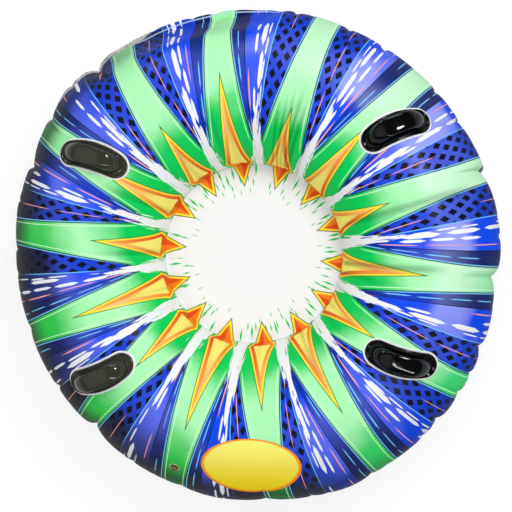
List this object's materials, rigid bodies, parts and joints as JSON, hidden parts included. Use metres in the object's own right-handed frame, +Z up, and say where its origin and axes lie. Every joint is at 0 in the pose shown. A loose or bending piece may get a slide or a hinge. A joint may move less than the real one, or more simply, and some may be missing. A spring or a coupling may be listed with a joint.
{
  "type": "inflatable snow tube sled",
  "caption": "Round inflatable snow tube: two vinyl sheets welded at a central seat well and at the rim, kidney-shaped grab handles on patches, and a push-in air valve.",
  "frame": {"origin": "on the ground under the middle of the ring", "axes": "+Z up out of the seat well, +Y the way the sled is pulled, +X to the rider's right"},
  "size_m": [0.9192, 0.9192, 0.3113],
  "materials": {
    "printed_vinyl": "satin printed PVC film, green, blue, violet and navy on white",
    "base_vinyl": "satin dark blue PVC film",
    "patch_vinyl": "satin white PVC film",
    "handle_moulding": "glossy black moulded PVC",
    "clear_vinyl": "translucent greenish soft PVC"
  },
  "bodies": {
    "ring": {"top_sheet": "printed_vinyl", "base_sheet": "base_vinyl", "handle_patch_front_right": "patch_vinyl", "handle_patch_front_left": "patch_vinyl", "handle_patch_rear_left": "patch_vinyl", "handle_patch_rear_right": "patch_vinyl", "handle_front_right": "handle_moulding", "handle_front_left": "handle_moulding", "handle_rear_left": "handle_moulding", "handle_rear_right": "handle_moulding", "valve_base": "clear_vinyl"},
    "stem": {"valve_stem": "clear_vinyl"},
    "plug": {"valve_plug": "clear_vinyl"},
    "flap": {"valve_flap": "clear_vinyl"}
  },
  "joints": [
    {"name": "stem_pull", "type": "slide", "parent": "ring", "child": "stem", "axis": [-0.2672, -0.6547, 0.7071], "range_m": [0, 0.012]},
    {"name": "plug_open", "type": "hinge", "parent": "stem", "child": "plug", "pos_m": [-0.15356, -0.37629, 0.24578], "axis": [-0.9259, 0.3778, 0], "range_deg": [0, 140]},
    {"name": "flap_open", "type": "hinge", "parent": "stem", "child": "flap", "pos_m": [-0.14704, -0.36031, 0.22626], "axis": [0.9259, -0.3778, 0], "range_deg": [0, 60], "stiffness_Nm_per_rad": 0.0002}
  ]
}
